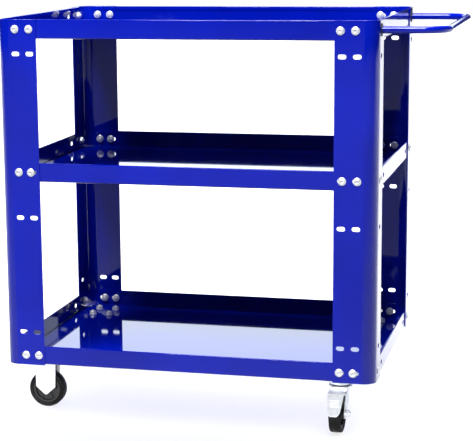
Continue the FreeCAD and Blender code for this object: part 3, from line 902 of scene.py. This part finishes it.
    def spread(
        self,
        name: str,
        head: bpy.types.Mesh,
        places: Sequence[Seat],
        node: str,
        thread_from: float,
        turns: float,
        seed: int,
    ) -> bpy.types.Object:
        """Sets one kind of fastener on its seats as a single piece.

        Args:
            name: the piece's name.
            head: the template mesh.
            places: where the fasteners sit, on the frame.
            node: the CAD node that they replace.
            thread_from: height of the thread's start, in millimetres.
            turns: turns of thread.
            seed: seed of the chance turn of each fastener.

        Returns:
            The finished piece.
        """
        template = link_object(name + "_template", head)
        points = link_object(name + "_seats", mesh_from(name + "_seats", [seat.point for seat in places]))
        ways = points.data.attributes.new("out", "FLOAT_VECTOR", "POINT")
        ways.data.foreach_set("vector", [value for seat in places for value in seat.out])
        values = {
            "Head": template,
            "Thread Radius": self.root * MM,
            "Thread Pitch": self.pitch * MM,
            "Thread Turns": turns,
            "Thread Start": thread_from * MM,
            "Seed": seed,
            "Finish": finish(Coat.BRIGHT_ZINC),
        }
        piece = run_tree(points, self.tree, values, name)
        smooth(piece.data)
        bpy.data.objects.remove(template)
        return hand_over(piece, Coat.BRIGHT_ZINC, "frame", node)

    def screws(self, node: str, hexagonal: bool, seed: int) -> None:
        """Replaces the screws of one CAD node.

        Args:
            node: the CAD node.
            hexagonal: true for hex heads, false for domed ones.
            seed: seed of the chance turns.
        """
        places = seats(node, Form.SCREW)
        solid = solids_of(node)[0]
        spans = [max(p[k] for p in solid) - min(p[k] for p in solid) for k in range(3)]
        length = max(spans) / MM - (self.hex_head_h if hexagonal else self.head_height())
        head = self.hex_screw(length) if hexagonal else self.domed_screw(length)
        LOG.info("%s: %d screws %.1f mm long", node, len(places), length)
        turns = (self.nut_h + self.thread_past_nut) / self.pitch
        thread_from = -length + self.thread_lead_in
        self.spread(node.replace("bolts", "screws"), head, places, node, thread_from, turns, seed)

    def head_height(self) -> float:
        """Height of a domed head up to the edge of its socket."""
        sphere = self.dome_h - self.dome_centre
        corner = self.socket_af / math.sqrt(3)
        return self.dome_centre + math.sqrt(sphere**2 - corner**2) + self.socket_edge_rise

    def nuts(self, node: str, seed: int) -> None:
        """Replaces the nuts of one CAD node."""
        places, head = seats(node, Form.NUT), self.flange_nut()
        name = node + "_on_flanges"
        self.spread(name, head, places, node, self.nut_thread_from, self.nut_turns, seed)


@dataclass
class SheetFrame:
    """Three folded trays between four slotted angle posts."""

    trays: tuple[str, ...] = ("top_tray", "middle_tray", "bottom_tray")
    posts: tuple[str, ...] = ("front_left_post", "front_right_post", "rear_left_post", "rear_right_post")
    soft_edge: float = 0.3

    def build(self) -> None:
        """Dresses the trays and posts in blue powder coat."""
        dress(Coat.BLUE, self.trays, self.soft_edge)
        dress(Coat.BLUE, self.posts, self.soft_edge)


@dataclass
class PushHandle:
    """The bent tube handle with its washers and screws. Sizes are in millimetres."""

    tube_d: float = 14.0
    bend: float = 48.0
    washer_edge: float = 0.3

    def build(self) -> None:
        """Sweeps the handle's tube and dresses what holds it."""
        low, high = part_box("push_handle")
        half = self.tube_d / 2 * MM
        middle_z = (low.z + high.z) / 2
        far_x = high.x - half
        near_y, back_y = low.y + half, high.y - half
        corners = [(low.x, near_y), (far_x, near_y), (far_x, back_y), (low.x, back_y)]
        points = [Vector((x, y, middle_z)) for x, y in corners]
        line = link_object("handle_line", mesh_from("handle_line", points, (), [(0, 1), (1, 2), (2, 3)]))
        values = {"Bend Radius": self.bend * MM, "Tube Radius": half, "Finish": finish(Coat.HANDLE)}
        piece = run_tree(line, bent_tube_tree(), values, "handle_tube")
        smooth(piece.data)
        hand_over(piece, Coat.HANDLE, "frame", "push_handle")
        dress(Coat.WASHER, ["handle_washers"], self.washer_edge)
        dress(Coat.BRIGHT_ZINC, ["handle_inserts"])


@dataclass
class Tyre:
    """A solid moulded tyre with round shoulders, two rings on each side and a parting line. Millimetres."""

    rim: float = 9.0
    lip: float = 1.0
    shoulder: float = 3.5
    crown: float = 0.25
    parting: float = 0.5
    ring_at: tuple[float, ...] = (2.6, 5.2)
    ring_width: float = 0.9
    ring_height: float = 0.35
    shoulder_steps: int = 8
    smooth_deg: float = 50.0
    sides: int = 128

    def side(self, radius: float, half: float) -> list[tuple[float, float]]:
        """Half of the section, from the seat on the hub out to the middle of the tread.

        Args:
            radius: the tyre's outer radius.
            half: half of its width.

        Returns:
            Radius and distance from the middle plane of each point.
        """
        seat = radius - self.rim
        wall = self.rim - self.shoulder
        points = [(seat, half - self.lip)]
        for middle in self.ring_at:
            for step, lift in ((-0.5, 0.0), (-0.25, 1.0), (0.25, 1.0), (0.5, 0.0)):
                out = middle + step * self.ring_width
                slope = half - self.lip * (1.0 - min(out / wall, 1.0))
                points.append((seat + out, min(half, slope + lift * self.ring_height)))
        tread = radius - self.crown
        centre = (tread - self.shoulder, half - self.shoulder)
        points += arc(centre, self.shoulder, 90.0, 0.0, self.shoulder_steps)
        points += [(tread, self.parting), (radius, self.parting / 2), (radius, 0.0)]
        return points

    def build(self, node: str, body: str) -> None:
        """Replaces one CAD tyre.

        Args:
            node: the CAD node.
            body: the wheel's body.
        """
        low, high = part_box(node)
        size = [(high[k] - low[k]) / MM for k in range(3)]
        along = size.index(min(size))
        near = self.side(max(size) / 2, min(size) / 2)
        profile = [(r * MM, -h * MM) for r, h in near] + [(r * MM, h * MM) for r, h in reversed(near[:-1])]
        mesh = lathe(profile + profile[:1], self.sides, node + "_moulded")
        axis = Vector([float(k == along) for k in range(3)])
        turn = axis.to_track_quat("Z", "X").to_matrix().to_4x4()
        mesh.transform(Matrix.Translation((low + high) / 2) @ turn)
        smooth(mesh, self.smooth_deg)
        piece = link_object(node + "_moulded", mesh)
        mesh.materials.append(finish(Coat.RUBBER))
        hand_over(piece, Coat.RUBBER, body, node)


@dataclass
class GripRibs:
    """Raised ribs across a brake pedal's tongue for the shoe. Sizes are in millimetres."""

    count: int = 5
    pitch: float = 3.4
    length: float = 17.0
    radius: float = 0.3
    inset: float = 21.0

    def tree(self) -> bpy.types.NodeTree:
        """Tree that repeats one round rib along a line of points."""
        tree, given = new_tree(
            "grip_ribs",
            [
                ("Count", "NodeSocketInt", 5),
                ("Step", "NodeSocketVector", (0.0, 0.0, 0.0)),
                ("Radius", "NodeSocketFloat", 0.0005),
                ("Finish", "NodeSocketMaterial", None),
            ],
        )
        curve = add_node(tree, "GeometryNodeMeshToCurve", None, {0: given.outputs["Geometry"]})
        section = add_node(
            tree,
            "GeometryNodeCurvePrimitiveCircle",
            None,
            {"Resolution": 10, "Radius": given.outputs["Radius"]},
        )
        rib = add_node(
            tree,
            "GeometryNodeCurveToMesh",
            None,
            {"Curve": curve.outputs[0], "Profile Curve": section.outputs[0], "Fill Caps": True},
        )
        row = add_node(
            tree,
            "GeometryNodeMeshLine",
            {"mode": "OFFSET"},
            {"Count": given.outputs["Count"], "Offset": given.outputs["Step"]},
        )
        spread = add_node(
            tree,
            "GeometryNodeInstanceOnPoints",
            None,
            {"Points": row.outputs[0], "Instance": rib.outputs[0]},
        )
        end_tree(tree, given, spread.outputs[0])
        return tree

    def build(self, node: str, body: str, tree: bpy.types.NodeTree) -> None:
        """Sets the ribs on the outer face of one pedal's tongue.

        Args:
            node: the CAD node of the pedal.
            body: the pedal's body.
            tree: the tree from tree().
        """
        shape = frame["nodes"][node].data
        low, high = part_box(node)
        middle_x = (low.x + high.x) / 2
        # the tongue's outer face is the large flat one that looks to the front and upwards
        outer = max(
            (f for f in shape.polygons if f.normal.y < -0.5 and f.normal.z > 0.3), key=lambda f: f.area
        )
        normal = outer.normal.copy()
        down = Vector((0, normal.z, -normal.y))
        if down.z > 0:
            down.negate()
        tip = min((shape.vertices[k].co for k in outer.vertices), key=lambda p: p.z)
        start = Vector((middle_x, tip.y, tip.z)) - down * self.inset * MM
        half = Vector((self.length / 2 * MM, 0, 0))
        points = [start - half, start + half]
        line = link_object(node + "_rib_line", mesh_from(node + "_rib_line", points, (), [(0, 1)]))
        values = {
            "Count": self.count,
            "Step": tuple(down * self.pitch * MM),
            "Radius": self.radius * MM,
            "Finish": finish(Coat.PRESSED_ZINC),
        }
        piece = run_tree(line, tree, values, node + "_grip_ribs")
        smooth(piece.data)
        hand_over(piece, Coat.PRESSED_ZINC, body)


@dataclass
class Casters:
    """Two fixed and two swivel casters."""

    sheet_edge: float = 0.5
    head_edge: float = 0.4
    fastener_edge: float = 0.2

    def build(self) -> None:
        """Dresses every caster, and gives it a moulded tyre and each pedal its ribs."""
        tyre, ribs = Tyre(), GripRibs()
        rib_tree = ribs.tree()
        for row in ROWS:
            for kind in ("fixed", "swivel"):
                name = f"{row}_{kind}_"
                dress(Coat.PRESSED_ZINC, [name + "fork"], self.sheet_edge)
                dress(Coat.BRIGHT_ZINC, [name + "axle", name + "axle_nut"], self.fastener_edge)
                dress(Coat.SLEEVE, [name + "bush"])
                dress(Coat.NYLON, [name + "hub"], self.sheet_edge)
                tyre.build(name + "tyre", name + "wheel")
            name = f"{row}_swivel_"
            pressed = [name + k for k in ("top_plate", "lower_cup", "kingpin", "brake_pedal")]
            dress(Coat.PRESSED_ZINC, pressed, self.head_edge)
            dress(Coat.BRIGHT_ZINC, [name + "pedal_pin"], self.fastener_edge)
            dress(Coat.BALLS, [name + "upper_balls", name + "lower_balls"])
            dress(Coat.SEAL, [name + "seal"])
            ribs.build(name + "brake_pedal", row + "_pedal", rib_tree)


# ------------------------------------------------------------------ studio
class Lit(Enum):
    """What a softbox lights; the frame is the cart without its casters, a bare floor takes no shadow."""

    CART = "cart"
    FRAME = "frame"
    CASTERS = "casters"
    FLOOR = "floor"
    BARE_FLOOR = "bare_floor"


@dataclass(frozen=True)
class Softbox:
    """A soft rectangular light. Sizes are in metres."""

    name: str
    place: tuple[float, float, float]
    aim: tuple[float, float, float]
    size: tuple[float, float]
    watts: float
    lit: Lit
    spread_deg: float = 180.0


@dataclass
class Studio:
    """Pale floor, surroundings, soft lights and the camera. Sizes are in metres, apart from the lens."""

    softboxes: tuple[Softbox, ...] = (
        Softbox("front_softbox", (-0.4, -3.0, 4.6), (0.0, 0.0, 0.3), (3.0, 2.2), 700.0, Lit.FRAME),
        Softbox("overhead_softbox", (0.4, 0.3, 3.0), (0.0, 0.0, 0.4), (0.9, 0.9), 55.0, Lit.CART),
        Softbox("low_softbox", (-0.2, -2.6, 0.75), (0.0, -0.2, 0.06), (1.2, 0.9), 105.0, Lit.CASTERS),
        Softbox(
            "backdrop_softbox", (0.0, 7.4, 3.0), (0.0, 7.4, 0.0), (22.0, 15.0), 2050.0, Lit.BARE_FLOOR, 60.0
        ),
        Softbox("floor_softbox", (0.0, -4.0, 6.0), (0.0, -4.0, 0.0), (12.0, 12.0), 420.0, Lit.FLOOR),
    )
    wall_way: tuple[float, float, float] = (-0.2, 0.97, 0.14)
    wall_foot: tuple[float, float] = (0.09, 0.12)
    wall_top: tuple[float, float] = (0.62, 0.36)
    wall_side: tuple[float, float] = (0.70, 0.88)
    wall_level: float = 3.1
    wall_colour: str = "#E4EEFF"
    room_level: float = 0.05
    floor_size: float = 28.0
    lens_mm: float = 123.337
    sensor_mm: float = 36.0
    lens_shift: tuple[float, float] = (0.098309, 0.041226)
    sight: float = 200.0
    yaw_deg: float = 14.748
    pitch_deg: float = -10.925
    roll_deg: float = 0.643
    from_cart: tuple[float, float, float] = (0.7970, -3.2454, 0.9686)

    def floor(self) -> bpy.types.Object:
        """Makes the pale floor."""
        half = self.floor_size / 2
        points = [Vector((x, y, 0)) for x, y in ((-half, -half), (half, -half), (half, half), (-half, half))]
        floor = link_object("studio_floor", mesh_from("studio_floor", points, [(0, 1, 2, 3)]))
        floor.data.materials.append(StudioPaint("matt_white_floor_paint", "", "#F6F6F6", 0.9).build())
        return floor

    def panel(
        self, tree: bpy.types.NodeTree, value: bpy.types.NodeSocket, edges: tuple[float, float], level: float
    ) -> bpy.types.NodeSocket:
        """Adds a level that rises smoothly between two values and returns it."""
        inputs = {"Value": value, "From Min": edges[0], "From Max": edges[1], "To Min": 0.0, "To Max": level}
        made = add_node(tree, "ShaderNodeMapRange", {"interpolation_type": "SMOOTHSTEP"}, inputs)
        return made.outputs["Result"]

    def sky(self) -> None:
        """Makes the surroundings: a dim room with a bright wall panel behind, a little above the horizon."""
        world = bpy.data.worlds.new("soft_studio")
        world.use_nodes = True
        tree = world.node_tree
        tree.nodes.clear()
        way = add_node(tree, "ShaderNodeTexCoord").outputs["Generated"]
        height = add_node(tree, "ShaderNodeSeparateXYZ", None, {0: way}).outputs["Z"]
        ahead = add_node(
            tree, "ShaderNodeVectorMath", {"operation": "DOT_PRODUCT"}, {0: way, 1: self.wall_way}
        ).outputs["Value"]
        above = self.panel(tree, height, self.wall_foot, self.wall_level)
        below = self.panel(tree, height, self.wall_top, 1.0)
        sides = self.panel(tree, ahead, self.wall_side, 1.0)
        strip = add_node(tree, "ShaderNodeMath", {"operation": "MULTIPLY"}, {0: above, 1: below})
        wall = add_node(tree, "ShaderNodeMath", {"operation": "MULTIPLY"}, {0: strip.outputs[0], 1: sides})
        level = add_node(
            tree, "ShaderNodeMath", {"operation": "ADD"}, {0: wall.outputs[0], 1: self.room_level}
        )
        white = linear("#FFFFFF")
        tone = linear(self.wall_colour)
        room = add_node(tree, "ShaderNodeBackground", None, {"Color": tone, "Strength": level.outputs[0]})
        plain = add_node(tree, "ShaderNodeBackground", None, {"Color": white, "Strength": 1.0})
        seen = add_node(tree, "ShaderNodeLightPath").outputs["Is Camera Ray"]
        mix = add_node(tree, "ShaderNodeMixShader", None, {0: seen, 1: room.outputs[0], 2: plain.outputs[0]})
        add_node(tree, "ShaderNodeOutputWorld", None, {"Surface": mix.outputs[0]})
        bpy.context.scene.world = world

    def light(self, softbox: Softbox, floor: bpy.types.Object) -> None:
        """Adds one softbox, which lights only what it is meant for.

        Args:
            softbox: its place, size and strength.
            floor: the floor.
        """
        data = bpy.data.lights.new(softbox.name, "AREA")
        data.shape = "RECTANGLE"
        data.size, data.size_y = softbox.size
        data.energy = softbox.watts
        data.spread = math.radians(softbox.spread_deg)
        lamp = bpy.data.objects.new(softbox.name, data)
        lamp.location = softbox.place
        way = Vector(softbox.aim) - Vector(softbox.place)
        lamp.rotation_euler = way.to_track_quat("-Z", "Y").to_euler()
        lamp.visible_camera = False
        bpy.context.scene.collection.objects.link(lamp)
        group = bpy.data.collections.new(softbox.name + "_receivers")
        lamp.light_linking.receiver_collection = group
        starts = tuple(f"{row}_{kind}" for row in ROWS for kind in ("fixed", "swivel"))
        if softbox.lit in (Lit.CASTERS, Lit.FRAME):
            for piece in bpy.context.scene.objects:
                if piece.type == "MESH" and piece.name.startswith(starts):
                    group.objects.link(piece)
        if softbox.lit is not Lit.CASTERS:
            group.objects.link(floor)
        state = "EXCLUDE" if softbox.lit in (Lit.CART, Lit.FRAME) else "INCLUDE"
        for item in group.collection_objects:
            item.light_linking.link_state = state
        if softbox.lit is Lit.BARE_FLOOR:
            lamp.light_linking.blocker_collection = group

    def camera(self) -> None:
        """Makes the camera."""
        data = bpy.data.cameras.new("camera")
        data.sensor_width = self.sensor_mm
        data.lens = self.lens_mm
        data.shift_x, data.shift_y = self.lens_shift
        data.clip_end = self.sight
        eye = bpy.data.objects.new("camera", data)
        middle = (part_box("front_left_post")[0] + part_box("rear_right_post")[1]) / 2
        middle.z = 0.0
        turn = (
            Matrix.Rotation(math.radians(self.yaw_deg), 4, "Z")
            @ Matrix.Rotation(math.radians(self.pitch_deg), 4, "X")
            @ Matrix.Rotation(math.radians(self.roll_deg), 4, "Y")
            @ Matrix.Rotation(math.radians(90), 4, "X")
        )
        eye.matrix_world = Matrix.Translation(middle + Vector(self.from_cart)) @ turn
        bpy.context.scene.collection.objects.link(eye)
        bpy.context.scene.camera = eye

    def build(self) -> None:
        """Sets the floor, the surroundings, the lights, the camera and the plain colour response."""
        floor = self.floor()
        self.sky()
        for softbox in self.softboxes:
            self.light(softbox, floor)
        self.camera()
        bpy.context.scene.view_settings.view_transform = "Standard"


def main() -> None:
    """Builds the cart's pieces in order, then the studio."""
    logging.basicConfig(level=logging.INFO, format="%(name)s: %(message)s")
    SheetFrame().build()
    fasteners = FastenerSet()
    for seed, name in enumerate(("top", "middle", "bottom")):
        fasteners.screws(name + "_tray_bolts", False, seed)
        fasteners.nuts(name + "_tray_nuts", seed + 10)
    fasteners.screws("handle_bolts", False, 20)
    fasteners.screws("caster_bolts", True, 21)
    fasteners.nuts("caster_nuts", 22)
    PushHandle().build()
    Casters().build()
    Studio().build()


if __name__ == "__main__":
    main()
